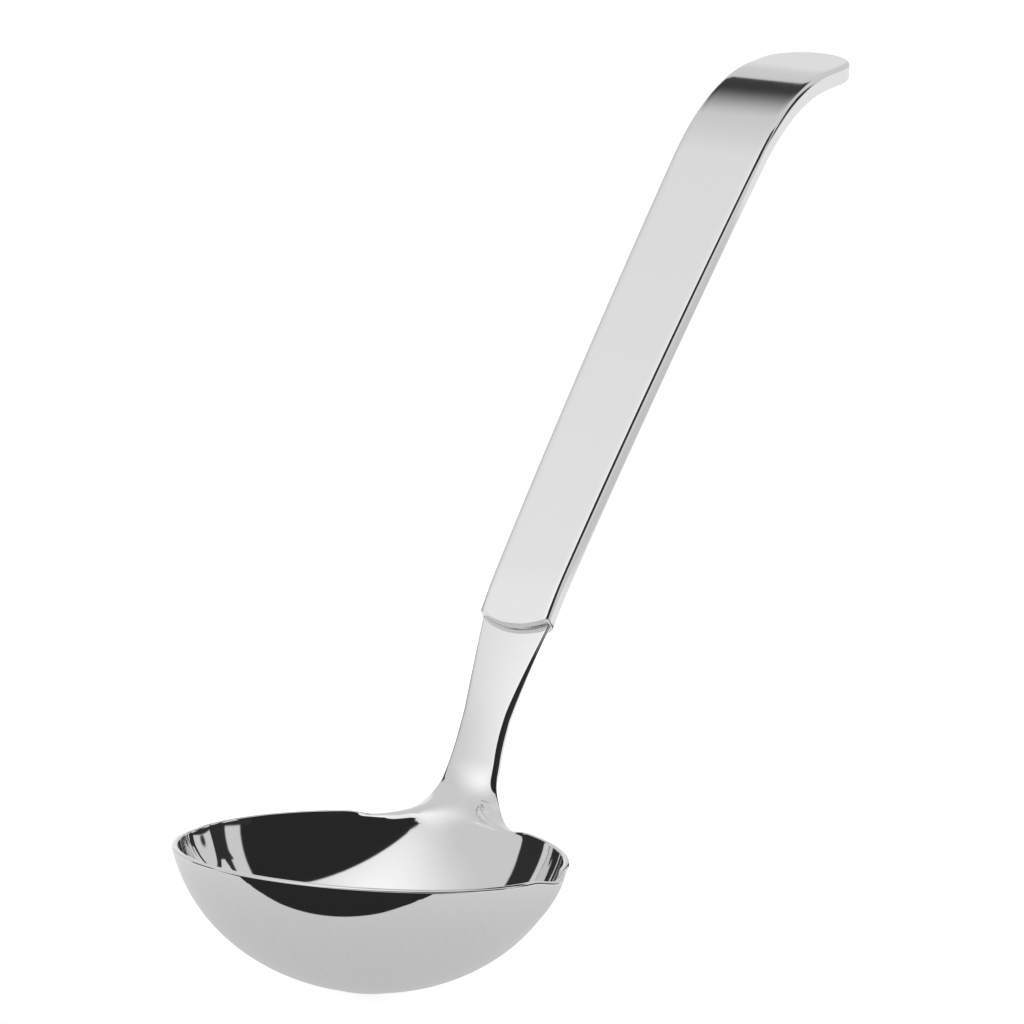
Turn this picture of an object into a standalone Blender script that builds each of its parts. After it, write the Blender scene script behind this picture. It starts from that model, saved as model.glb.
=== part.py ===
# Sauce ladle: a pressed bowl with a pouring lip on each side, whose neck runs on as a
# tang into a flat hollow handle of two welded shells with a turned-back end.
# Metres, +Z up. The origin is the middle of the small flat under the bowl. X runs from
# lip to lip, and +Y points to the handle.

import math

import bmesh
import bpy
from mathutils import Vector

# Clearances
FIT_GAP = 0.0003
SEAM_GAP = 0.0003
MERGE = 0.00001

# Bowl
RIM_RADIUS = 0.0400
BOWL_DEPTH = 0.0289
RIM_THICKNESS = 0.0013
BOTTOM_THICKNESS = 0.0015
FOOT_RADIUS = 0.0040
RIM_LEAN = math.radians(15.8)
WALL_BASE_REACH = 0.0115
WALL_RISE = 0.0192
RIM_SADDLE = 0.0009
RIM_ROUNDING = 0.00035

# Pouring lips
LIP_REACH = 0.0014
LIP_DIP = 0.0009
LIP_HALF_WIDTH = 0.0050
LIP_START = 0.70
LIP_FALLOFF = 2.2
LIP_SPREAD = 1.9

# Neck
NECK_ROOT_Y = 0.0485
NECK_ROOT_RISE = 0.0020
NECK_LENGTH = 0.0404
NECK_ROOT_WIDTH = 0.0142
NECK_WAIST_WIDTH = 0.0094
NECK_MOUTH_WIDTH = 0.0146
NECK_WAIST_AT = 0.0148
NECK_ROOT_THICKNESS = 0.0021
NECK_WAIST_THICKNESS = 0.0039
NECK_ROOT_SWEEP = 0.0200
NECK_ROOT_FLARE = 2.6
ROOT_FILLET_ANGLE = math.radians(27.0)
ROOT_FILLET_REACH = 2.5
ROOT_FILLET_LIFT = 6.0

# Tang and what holds it
TANG_WIDTH = 0.0094
TANG_THICKNESS = 0.0012
TANG_LENGTH = 0.0300
PLATE_THICKNESS = 0.0012
BEDDING_LENGTH = 0.0330
CAVITY_CHAMFER = 0.0006

# Leans from the vertical along the neck and the handle
NECK_ROOT_LEAN = math.radians(30.8)
NECK_END_LEAN = math.radians(42.6)
GRIP_START_LEAN = math.radians(49.9)
GRIP_END_LEAN = math.radians(53.6)
HOOK_END_LEAN = math.radians(90.0)

# Handle
ENTRY_LENGTH = 0.0120
GRIP_LENGTH = 0.1142
HOOK_LENGTH = 0.0393
TIP_LENGTH = 0.0184
HANDLE_MOUTH_WIDTH = 0.0150
HANDLE_WIDTH = 0.0187
HANDLE_THICKNESS = 0.0050
HOOK_THICKNESS = 0.0043
TIP_THICKNESS = 0.0042
SHELL_WALL = 0.0008
FRONT_EDGE_RADIUS = 0.0009
BACK_EDGE_RADIUS = 0.0013
MOUTH_SAG = 0.0023
MOUTH_FADE = 0.0080
TIP_ROUND = 0.0116

# Mesh steps
WALL_ROWS = 14
NECK_ROWS = 14
TANG_ROWS = 8
FILLET_STEPS = 7
BACK_RIM_STEPS = 7
LIP_STEPS = 12
FRONT_RIM_STEPS = 11
FACE_COLUMNS = 4
EDGE_STEPS = 3
MOUTH_STEPS = 4
ENTRY_STEPS = 2
GRIP_STEPS = 8
HOOK_STEPS = 10
TIP_STEPS = 8
SLAB_COLUMNS = 8
BEDDING_ROWS = 8

S_MOUTH = NECK_LENGTH
S_GRIP = S_MOUTH + ENTRY_LENGTH
S_HOOK = S_GRIP + GRIP_LENGTH
S_BEND_END = S_HOOK + HOOK_LENGTH
S_TIP = S_BEND_END + TIP_LENGTH
S_TANG_END = S_MOUTH + TANG_LENGTH
S_BEDDING_END = S_MOUTH + BEDDING_LENGTH

SPANS = (
    (NECK_LENGTH, NECK_ROOT_LEAN, NECK_END_LEAN),
    (ENTRY_LENGTH, NECK_END_LEAN, GRIP_START_LEAN),
    (GRIP_LENGTH, GRIP_START_LEAN, GRIP_END_LEAN),
    (HOOK_LENGTH, GRIP_END_LEAN, HOOK_END_LEAN),
)


def mix(a, b, t):
    return a + (b - a) * t


def smooth(t):
    t = min(max(t, 0.0), 1.0)
    return t * t * (3.0 - 2.0 * t)


def between(value, start, end):
    return min(max((value - start) / (end - start), 0.0), 1.0)


# The middle line of the neck and the handle: arcs of steady curvature, end to end,
# measured by the distance s from the neck's root. Past its ends it runs straight.
def middle_line(s):
    y = NECK_ROOT_Y
    z = BOWL_DEPTH + NECK_ROOT_RISE
    lean = NECK_ROOT_LEAN
    remaining = s
    for length, start_lean, end_lean in SPANS:
        step = min(remaining, length)
        curvature = (end_lean - start_lean) / length
        lean = start_lean + curvature * step
        if abs(curvature) < 1e-9:
            y += step * math.sin(lean)
            z += step * math.cos(lean)
        else:
            y += (math.cos(start_lean) - math.cos(lean)) / curvature
            z += (math.sin(lean) - math.sin(start_lean)) / curvature
        remaining -= step
        if remaining <= 0.0:
            break
    if remaining > 0.0:
        y += remaining * math.sin(lean)
        z += remaining * math.cos(lean)
    return y, z, lean


# A point x to the side, s along the middle line and n out of it on the front side
def place(x, s, n):
    y, z, lean = middle_line(s)
    return Vector((x, y - n * math.cos(lean), z + n * math.sin(lean)))


def neck_width(s):
    if s < NECK_WAIST_AT:
        t = 1.0 - s / NECK_WAIST_AT
        return mix(NECK_WAIST_WIDTH, NECK_ROOT_WIDTH, t ** NECK_ROOT_FLARE)
    t = between(s, NECK_WAIST_AT, S_MOUTH)
    return mix(NECK_WAIST_WIDTH, NECK_MOUTH_WIDTH, t * t)


def neck_thickness(s):
    if s < NECK_WAIST_AT:
        t = smooth(s / NECK_WAIST_AT)
        return mix(NECK_ROOT_THICKNESS, NECK_WAIST_THICKNESS, t)
    t = smooth(between(s, NECK_WAIST_AT, S_MOUTH))
    return mix(NECK_WAIST_THICKNESS, TANG_THICKNESS, t)


def handle_width(s):
    t = between(s, S_MOUTH, S_HOOK)
    return mix(HANDLE_MOUTH_WIDTH, HANDLE_WIDTH, t)


def handle_thickness(s):
    if s < S_HOOK:
        t = smooth(between(s, S_GRIP, S_HOOK))
        return mix(HANDLE_THICKNESS, HOOK_THICKNESS, t)
    return mix(HOOK_THICKNESS, TIP_THICKNESS, between(s, S_HOOK, S_BEND_END))


# The handle's mouth is an arc in plan, fullest in the middle: how far it reaches
# towards the bowl at x, fading out along the handle
def mouth_reach(x, s):
    half = handle_width(s) / 2.0
    fade = 1.0 - smooth((s - S_MOUTH) / MOUTH_FADE)
    return MOUTH_SAG * (1.0 - (x / half) ** 2) * fade


def make_material(name, color, roughness):
    material = bpy.data.materials.new(name)
    material.use_nodes = True
    shader = material.node_tree.nodes["Principled BSDF"]
    shader.inputs["Base Color"].default_value = (*color, 1.0)
    shader.inputs["Metallic"].default_value = 1.0
    shader.inputs["Roughness"].default_value = roughness
    return material


def finish_mesh(name, bm, material, collection):
    bmesh.ops.remove_doubles(bm, verts=bm.verts, dist=MERGE)
    mesh = bpy.data.meshes.new(name)
    bm.to_mesh(mesh)
    bm.free()
    if material:
        mesh.materials.append(material)
    obj = bpy.data.objects.new(name, mesh)
    collection.objects.link(obj)
    return obj


def add_mirror(obj):
    mirror = obj.modifiers.new("Mirror", 'MIRROR')
    mirror.use_axis = (True, False, False)
    mirror.use_clip = True
    mirror.merge_threshold = MERGE


def add_wall(obj, thickness, group=""):
    wall = obj.modifiers.new("Wall", 'SOLIDIFY')
    wall.thickness = thickness
    wall.offset = -1.0
    wall.use_even_offset = True
    wall.vertex_group = group


def shade(obj, angle):
    obj.data.shade_smooth()
    obj.data.set_sharp_from_angle(angle=math.radians(angle))


# The bowl

def lip_shape(angle, row):
    arc = (angle - math.pi / 2.0) * RIM_RADIUS / LIP_HALF_WIDTH
    rise = smooth(between(row, LIP_START, 1.0))
    return math.exp(-abs(arc) ** LIP_FALLOFF) * rise


# Angles from the handle's side (0) round to the front (pi), closer together in the
# root fillet and at the lip
def rim_angles(corner_angle):
    lip = LIP_HALF_WIDTH / RIM_RADIUS * LIP_SPREAD
    marks = (
        (corner_angle, ROOT_FILLET_ANGLE, FILLET_STEPS),
        (ROOT_FILLET_ANGLE, math.pi / 2.0 - lip, BACK_RIM_STEPS),
        (math.pi / 2.0 - lip, math.pi / 2.0 + lip, LIP_STEPS),
        (math.pi / 2.0 + lip, math.pi, FRONT_RIM_STEPS),
    )
    angles = []
    for start, end, steps in marks:
        for i in range(1, steps + 1):
            angles.append(mix(start, end, i / steps))
    return angles


# One upright section through the bowl's inside face: where it ends at the top, how
# far it leans there, its thickness there and how far it belongs to the neck's root
def bowl_columns():
    corner = place(NECK_ROOT_WIDTH / 2.0, 0.0, NECK_ROOT_THICKNESS / 2.0)
    corner_angle = math.atan2(corner.x, corner.y)
    corner_radius = math.hypot(corner.x, corner.y)
    inner_radius = RIM_RADIUS - RIM_THICKNESS
    tang_share = TANG_WIDTH / NECK_MOUTH_WIDTH
    columns = []
    for share in (0.0, tang_share / 2.0, tang_share, (1.0 + tang_share) / 2.0, 1.0):
        x = share * corner.x
        columns.append({
            "angle": math.atan2(x, corner.y),
            "radius": math.hypot(x, corner.y),
            "height": corner.z,
            "lean": NECK_ROOT_LEAN,
            "rise": NECK_ROOT_SWEEP,
            "thickness": NECK_ROOT_THICKNESS,
            "share": share,
        })
    for angle in rim_angles(corner_angle):
        blend = 1.0 - between(angle, corner_angle, ROOT_FILLET_ANGLE)
        pull = blend ** ROOT_FILLET_REACH
        rim_height = BOWL_DEPTH - RIM_SADDLE * math.sin(angle) ** 2
        columns.append({
            "angle": angle,
            "radius": mix(inner_radius, corner_radius, pull),
            "height": mix(rim_height, corner.z, blend ** ROOT_FILLET_LIFT),
            "lean": mix(RIM_LEAN, NECK_ROOT_LEAN, smooth(blend)),
            "rise": mix(WALL_RISE, NECK_ROOT_SWEEP, smooth(blend)),
            "thickness": mix(RIM_THICKNESS, NECK_ROOT_THICKNESS, pull),
            "share": None,
        })
    return columns


# A cubic curve from the flat bottom, level there, up to the column's end
def bowl_point(column, row):
    start = (FOOT_RADIUS, BOTTOM_THICKNESS)
    low = (FOOT_RADIUS + WALL_BASE_REACH, BOTTOM_THICKNESS)
    end = (column["radius"], column["height"])
    high = (
        end[0] - column["rise"] * math.sin(column["lean"]),
        end[1] - column["rise"] * math.cos(column["lean"]),
    )
    a = (1.0 - row) ** 3
    b = 3.0 * row * (1.0 - row) ** 2
    c = 3.0 * row * row * (1.0 - row)
    d = row ** 3
    radius = a * start[0] + b * low[0] + c * high[0] + d * end[0]
    height = a * start[1] + b * low[1] + c * high[1] + d * end[1]
    lip = lip_shape(column["angle"], row)
    radius += LIP_REACH * lip
    height -= LIP_DIP * lip
    angle = column["angle"]
    return Vector((radius * math.sin(angle), radius * math.cos(angle), height))


def make_bowl_and_neck(material, collection):
    columns = bowl_columns()
    neck_columns = [c for c in columns if c["share"] is not None]
    tang_columns = neck_columns[:3]
    thickest = max(NECK_WAIST_THICKNESS, NECK_ROOT_THICKNESS, BOTTOM_THICKNESS)
    bm = bmesh.new()
    sheet = bm.verts.layers.deform.new()

    def add_vertex(point, thickness):
        vertex = bm.verts.new(point)
        vertex[sheet][0] = thickness / thickest
        return vertex

    rows = []
    for i in range(WALL_ROWS + 1):
        row = i / WALL_ROWS
        line = []
        for column in columns:
            thickness = mix(BOTTOM_THICKNESS, column["thickness"], row)
            line.append(add_vertex(bowl_point(column, row), thickness))
        rows.append(line)
    bm.faces.new(list(reversed(rows[0])))

    def join(lower, upper):
        for j in range(len(upper) - 1):
            bm.faces.new((lower[j], lower[j + 1], upper[j + 1], upper[j]))

    for lower, upper in zip(rows[:-1], rows[1:]):
        join(lower, upper)

    previous = rows[-1]
    for i in range(1, NECK_ROWS + 1):
        line = []
        for column in neck_columns:
            mouth_x = column["share"] * NECK_MOUTH_WIDTH / 2.0
            end = S_MOUTH - mouth_reach(mouth_x, S_MOUTH) - SEAM_GAP
            s = end * i / NECK_ROWS
            x = column["share"] * neck_width(s) / 2.0
            if i == NECK_ROWS:
                x = mouth_x
            thickness = neck_thickness(s)
            line.append(add_vertex(place(x, s, thickness / 2.0), thickness))
        join(previous, line)
        previous = line
    for i in range(1, TANG_ROWS + 1):
        line = []
        for column in tang_columns:
            x = column["share"] * NECK_MOUTH_WIDTH / 2.0
            start = S_MOUTH - mouth_reach(x, S_MOUTH) - SEAM_GAP
            s = mix(start, S_TANG_END, i / TANG_ROWS)
            line.append(add_vertex(place(x, s, TANG_THICKNESS / 2.0), TANG_THICKNESS))
        join(previous, line)
        previous = line

    bmesh.ops.recalc_face_normals(bm, faces=bm.faces)
    if sum(face.normal.z for face in bm.faces) < 0.0:
        bmesh.ops.reverse_faces(bm, faces=bm.faces)
    obj = finish_mesh("bowl_and_neck", bm, material, collection)
    obj.vertex_groups.new(name="sheet")
    add_mirror(obj)
    add_wall(obj, thickest, "sheet")
    rounding = obj.modifiers.new("Rounding", 'BEVEL')
    rounding.width = RIM_ROUNDING
    rounding.segments = 2
    rounding.limit_method = 'ANGLE'
    rounding.angle_limit = math.radians(50.0)
    shade(obj, 40.0)
    return obj


# The handle's shells

# Half of the handle's outline in plan, from the mouth's corner round to the tip's
# middle, with the direction that points in from it
def half_outline():
    stations = []
    marks = (
        (S_MOUTH, S_MOUTH + MOUTH_FADE, MOUTH_STEPS),
        (S_MOUTH + MOUTH_FADE, S_GRIP, ENTRY_STEPS),
        (S_GRIP, S_HOOK, GRIP_STEPS),
        (S_HOOK, S_TIP - TIP_ROUND, HOOK_STEPS),
    )
    for start, end, steps in marks:
        for i in range(steps):
            stations.append(mix(start, end, i / steps))
    points = [(handle_width(s) / 2.0, s) for s in stations]
    half = HANDLE_WIDTH / 2.0
    for i in range(TIP_STEPS + 1):
        turn = math.pi / 2.0 * i / TIP_STEPS
        points.append((half * math.cos(turn), S_TIP - TIP_ROUND * (1.0 - math.sin(turn))))
    inward = []
    for i, point in enumerate(points):
        before = points[max(i - 1, 0)]
        after = points[min(i + 1, len(points) - 1)]
        run = (after[0] - before[0], after[1] - before[1])
        length = math.hypot(*run)
        inward.append((-run[1] / length, run[0] / length))
    inward[0] = (-1.0, 0.0)
    inward[-1] = (0.0, -1.0)
    return points, inward


# A tray seen from outside: its wall from the parting line, a rounded edge and its
# face, for the front (side 1) or the back (side -1) of the handle
def make_shell(name, side, edge_radius, material, collection):
    points, inward = half_outline()
    bm = bmesh.new()

    def add_vertex(x, s, n):
        return bm.verts.new(place(x, s - mouth_reach(x, s), n))

    lines = []
    for (x, s), (turn_x, turn_s) in zip(points, inward):
        top = handle_thickness(s) / 2.0
        line = [add_vertex(x, s, side * SEAM_GAP / 2.0)]
        for i in range(EDGE_STEPS + 1):
            turn = math.pi / 2.0 * i / EDGE_STEPS
            inset = edge_radius * (1.0 - math.cos(turn))
            n = top - edge_radius * (1.0 - math.sin(turn))
            edge_x = max(x + turn_x * inset, 0.0)
            edge_s = s + turn_s * inset
            line.append(add_vertex(edge_x, edge_s, side * n))
        for i in range(1, FACE_COLUMNS + 1):
            face_x = edge_x * (1.0 - i / FACE_COLUMNS)
            line.append(add_vertex(face_x, edge_s, side * top))
        lines.append(line)
    for first, second in zip(lines[:-1], lines[1:]):
        for j in range(len(first) - 1):
            bm.faces.new((first[j], first[j + 1], second[j + 1], second[j]))
    bmesh.ops.remove_doubles(bm, verts=bm.verts, dist=MERGE)
    bmesh.ops.recalc_face_normals(bm, faces=bm.faces)
    outward = sum(face.normal.dot(Vector((0.0, -side, side))) for face in bm.faces)
    if outward < 0.0:
        bmesh.ops.reverse_faces(bm, faces=bm.faces)
    obj = finish_mesh(name, bm, material, collection)
    add_mirror(obj)
    add_wall(obj, SHELL_WALL)
    shade(obj, 35.0)
    return obj


# The pieces inside the handle

# A closed slab along the middle line, with ends that follow the mouth's arc
def make_slab(name, start, end, rows, half_width, half_height, chamfer, material, collection):
    bm = bmesh.new()
    lines = []
    for i in range(rows + 1):
        s = mix(start, end, i / rows)
        half = half_width(s)
        height = half_height(s)
        inner = half - chamfer
        columns = [mix(-inner, inner, j / SLAB_COLUMNS) for j in range(SLAB_COLUMNS + 1)]
        xs = [-half] + columns + [half]
        top = []
        bottom = []
        for x in xs:
            n = height - chamfer if abs(x) > inner + MERGE else height
            along = s - mouth_reach(x, s)
            top.append(bm.verts.new(place(x, along, n)))
            bottom.append(bm.verts.new(place(x, along, -n)))
        lines.append((top, bottom))
    for (top_a, bottom_a), (top_b, bottom_b) in zip(lines[:-1], lines[1:]):
        for j in range(len(top_a) - 1):
            bm.faces.new((top_a[j], top_a[j + 1], top_b[j + 1], top_b[j]))
            bm.faces.new((bottom_a[j + 1], bottom_a[j], bottom_b[j], bottom_b[j + 1]))
        for j in (0, -1):
            bm.faces.new((top_a[j], top_b[j], bottom_b[j], bottom_a[j]))
    for top, bottom in (lines[0], lines[-1]):
        for j in range(len(top) - 1):
            bm.faces.new((top[j], top[j + 1], bottom[j + 1], bottom[j]))
    bmesh.ops.recalc_face_normals(bm, faces=bm.faces)
    return finish_mesh(name, bm, material, collection)


def cavity_half_width(s):
    return handle_width(s) / 2.0 - SHELL_WALL - FIT_GAP


def cavity_half_height(s):
    return handle_thickness(s) / 2.0 - SHELL_WALL - FIT_GAP


def make_tang_cutter(collection):
    cutter = make_slab(
        "tang_cutter", S_MOUTH - MOUTH_SAG, S_TANG_END + FIT_GAP, TANG_ROWS,
        lambda s: TANG_WIDTH / 2.0 + FIT_GAP,
        lambda s: TANG_THICKNESS / 2.0 + FIT_GAP,
        FIT_GAP, None, collection,
    )
    cutter.hide_render = True
    cutter.display_type = 'WIRE'
    return cutter


def make_inner_piece(name, start, end, rows, cutter, material, collection):
    obj = make_slab(
        name, start, end, rows, cavity_half_width, cavity_half_height,
        CAVITY_CHAMFER, material, collection,
    )
    slot = obj.modifiers.new("Tang slot", 'BOOLEAN')
    slot.operation = 'DIFFERENCE'
    slot.object = cutter
    shade(obj, 35.0)
    return obj


def build():
    for obj in list(bpy.data.objects):
        bpy.data.objects.remove(obj, do_unlink=True)
    scene_root = bpy.context.scene.collection
    parts = bpy.data.collections.new("sauce_ladle")
    cutters = bpy.data.collections.new("cutters")
    scene_root.children.link(parts)
    scene_root.children.link(cutters)

    polished = make_material("polished_steel", (0.80, 0.80, 0.80), 0.05)
    front_satin = make_material("front_satin_steel", (0.72, 0.72, 0.72), 0.32)
    back_satin = make_material("back_satin_steel", (0.70, 0.70, 0.70), 0.34)
    plate_steel = make_material("plate_steel", (0.60, 0.60, 0.61), 0.40)
    bedding_grey = make_material("bedding_grey", (0.35, 0.34, 0.32), 0.90)
    bedding_grey.node_tree.nodes["Principled BSDF"].inputs["Metallic"].default_value = 0.0

    make_bowl_and_neck(polished, parts)
    make_shell("handle_front_shell", 1, FRONT_EDGE_RADIUS, front_satin, parts)
    make_shell("handle_back_shell", -1, BACK_EDGE_RADIUS, back_satin, parts)
    cutter = make_tang_cutter(cutters)
    plate_end = S_MOUTH + PLATE_THICKNESS
    make_inner_piece("mouth_plate", S_MOUTH, plate_end, 1, cutter, plate_steel, parts)
    bedding_start = plate_end + FIT_GAP
    make_inner_piece(
        "tang_bedding", bedding_start, S_BEDDING_END, BEDDING_ROWS, cutter,
        bedding_grey, parts,
    )


build()
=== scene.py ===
import math

import bmesh
import bpy
import numpy as np
from mathutils import Matrix, Vector


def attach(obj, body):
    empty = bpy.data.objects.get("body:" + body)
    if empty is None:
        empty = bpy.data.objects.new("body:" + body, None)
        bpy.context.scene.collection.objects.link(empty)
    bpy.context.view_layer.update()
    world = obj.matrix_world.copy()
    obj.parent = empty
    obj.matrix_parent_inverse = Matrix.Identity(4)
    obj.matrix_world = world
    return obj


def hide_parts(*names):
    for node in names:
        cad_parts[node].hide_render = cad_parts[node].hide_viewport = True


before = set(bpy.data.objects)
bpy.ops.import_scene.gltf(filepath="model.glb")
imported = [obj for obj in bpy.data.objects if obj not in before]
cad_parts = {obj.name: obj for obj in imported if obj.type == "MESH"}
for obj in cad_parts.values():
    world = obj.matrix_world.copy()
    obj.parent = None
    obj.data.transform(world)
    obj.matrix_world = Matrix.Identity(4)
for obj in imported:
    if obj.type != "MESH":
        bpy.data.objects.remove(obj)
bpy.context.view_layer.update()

print("frame loaded:", ", ".join(sorted(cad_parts)))


# the middle line that the neck and the handle follow, in metres and degrees
pathUser = {
    "rimHeight": 0.0289,
    "rootY": 0.04998,  # the neck's root, behind the middle of the bowl
    "rootRise": 0.0010,  # and over the rim
    "neckLength": 0.0404,
    "entryLength": 0.0120,  # from the handle's mouth to the grip
    "gripLength": 0.1142,
    "hookLength": 0.0393,
    "tipLength": 0.0184,
    "leans": (25.6, 42.6, 49.9, 53.6, 90.0),  # from upright, where each part begins
}
mouthAt = pathUser["neckLength"]
gripAt = mouthAt + pathUser["entryLength"]
hookAt = gripAt + pathUser["gripLength"]
bendEndAt = hookAt + pathUser["hookLength"]
tipAt = bendEndAt + pathUser["tipLength"]


def middleLine(s):
    # arcs of steady curvature end to end: y and z are the integrals of the sine and
    # cosine of the lean, which grows evenly with s along each arc
    s = np.asarray(s, float)
    leans = np.radians(pathUser["leans"])
    y = np.full(s.shape, pathUser["rootY"])
    z = np.full(s.shape, pathUser["rimHeight"] + pathUser["rootRise"])
    lean = np.full(s.shape, leans[0])
    starts = (0.0, mouthAt, gripAt, hookAt, bendEndAt)
    for i in range(len(starts) - 1):
        curve = (leans[i + 1] - leans[i]) / (starts[i + 1] - starts[i])
        step = np.clip(s, starts[i], starts[i + 1]) - starts[i]
        here = leans[i] + curve * step
        y = y + (math.cos(leans[i]) - np.cos(here)) / curve
        z = z + (np.sin(here) - math.sin(leans[i])) / curve
        lean = np.where(s > starts[i], here, lean)
    past = np.maximum(s - bendEndAt, 0.0) + np.minimum(s, 0.0)
    return y + past * np.sin(lean), z + past * np.cos(lean), lean


def carry(x, s, n):
    # x to the side, s along the line, n out of it on the side that faces forward
    y, z, lean = middleLine(s)
    x = np.broadcast_to(x, np.broadcast(x, y, n).shape)
    return np.stack([x, y - n * np.cos(lean), z + n * np.sin(lean)], axis=-1)


def smoothStep(t):
    t = np.clip(t, 0.0, 1.0)
    return t * t * (3.0 - 2.0 * t)


def blendTo(a, b, t):
    return a + (b - a) * t


def ramp(value, start, end):
    # even growth from 0 at the start to 1 at the end
    return np.clip((value - start) / (end - start), 0.0, 1.0)


def towards(azimuth, elevation):
    # the direction to a place in degrees: azimuth 0 is the front, 90 the right
    a, e = math.radians(azimuth), math.radians(elevation)
    return Vector((math.sin(a) * math.cos(e), -math.cos(a) * math.cos(e), math.sin(e)))


# meshes
meshUser = {
    "placesPerMetre": 1e7,  # points that round to the same place are one
    "grainPerMetre": 10.0,  # how the UV of a piece counts lengths
    "sharpFrom": 40.0,  # degrees between two faces
    "least": 1e-12,  # so that no normal is divided by nought
}


def gridQuads(index, wrap=False):
    # quads between neighbouring rows and columns of a grid of vertex numbers
    if wrap:
        index = np.concatenate([index, index[:, :1]], axis=1)
    a, b = index[:-1, :-1], index[:-1, 1:]
    c, d = index[1:, 1:], index[1:, :-1]
    return np.stack([a, b, c, d], axis=-1).reshape(-1, 4)


def cornerNormals(points, quads):
    # each vertex normal is the sum of the cross products of the diagonals around it
    diagonals = np.cross(points[quads[:, 2]] - points[quads[:, 0]],
                         points[quads[:, 3]] - points[quads[:, 1]])
    total = np.zeros_like(points)
    for corner in range(4):
        np.add.at(total, quads[:, corner], diagonals)
    length = np.linalg.norm(total, axis=1, keepdims=True)
    return total / np.maximum(length, meshUser["least"])


def newObject(name, points, faces):
    # an object in the scene, and its mesh
    mesh = bpy.data.meshes.new(name)
    mesh.from_pydata(points, [], faces)
    item = bpy.data.objects.new(name, mesh)
    bpy.context.scene.collection.objects.link(item)
    return item, mesh


def makePiece(name, points, quads, grain):
    # a quad whose corners are partly one point becomes a triangle or goes
    faces = [tuple(dict.fromkeys(q)) for q in quads.tolist()]
    piece, mesh = newObject(name, points.tolist(), [f for f in faces if len(f) > 2])
    layer = mesh.uv_layers.new(name="grain")
    loops = np.empty(len(mesh.loops), dtype=np.int32)
    mesh.loops.foreach_get("vertex_index", loops)
    uv = grain[loops] * meshUser["grainPerMetre"]
    layer.data.foreach_set("uv", np.ascontiguousarray(uv, np.float32).ravel())
    mesh.validate()
    mesh.shade_smooth()
    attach(piece, "root")
    return piece


def samePlace(points):
    # the first of each group of points that coincide, and each point's group
    places = np.round(points * meshUser["placesPerMetre"]).astype(np.int64)
    first, group = np.unique(places, axis=0, return_index=True, return_inverse=True)[1:]
    return first, group.reshape(-1)


def mergedPiece(name, points, quads, grain):
    # points that coincide become one, which closes seams and tips
    first, group = samePlace(points)
    piece = makePiece(name, points[first], group[quads], grain[first])
    tidyNormals(piece)
    return piece


def tidyNormals(piece):
    # all faces of a closed piece are turned to point outwards
    bm = bmesh.new()
    bm.from_mesh(piece.data)
    bmesh.ops.recalc_face_normals(bm, faces=bm.faces)
    bm.to_mesh(piece.data)
    bm.free()
    piece.data.shade_smooth()
    piece.data.set_sharp_from_angle(angle=math.radians(meshUser["sharpFrom"]))


# the neck, in metres
neckUser = {
    "rootWidth": 0.0162,
    "waistWidth": 0.01015,
    "mouthWidth": 0.0146,
    "waistAt": 0.0182,  # along the middle line from the root
    "rootFlare": 3.6,  # powers by which the width opens below and above the waist
    "mouthFlare": 1.2,
    "rootThickness": 0.0038,
    "waistThickness": 0.0038,
    "thickAt": 0.0140,
    "tangThickness": 0.0012,
    "crown": 0.00020,  # the front is higher in the middle by this
    "crownRise": 0.004,  # and comes to it over this length
    "edgeShare": 0.31,  # how far the rounded edge stands out, of the thickness
    "squareness": 3.0,  # power of the superellipse of the edge
    "endInMouth": 0.0012,
}


def neckWidth(s):
    # from the waist it opens by one power of the distance down and by another one up
    n = neckUser
    below = np.clip(1.0 - s / n["waistAt"], 0.0, 1.0) ** n["rootFlare"]
    above = np.maximum((s - n["waistAt"]) / (mouthAt - n["waistAt"]), 0.0) ** n["mouthFlare"]
    wide = blendTo(n["waistWidth"], n["rootWidth"], below)
    return wide + (n["mouthWidth"] - n["waistWidth"]) * above


def neckThickness(s):
    # one smooth step up to the thickest place and another one on to the tang
    n = neckUser
    below = smoothStep(s / n["thickAt"])
    above = smoothStep(ramp(s, n["thickAt"], mouthAt))
    low = blendTo(n["rootThickness"], n["waistThickness"], below)
    high = blendTo(n["waistThickness"], n["tangThickness"], above)
    return np.where(s < n["thickAt"], low, high)


def neckBulge(s):
    # how far the neck's rounded edge stands out past its flat front
    return neckUser["edgeShare"] * neckThickness(s)


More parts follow.
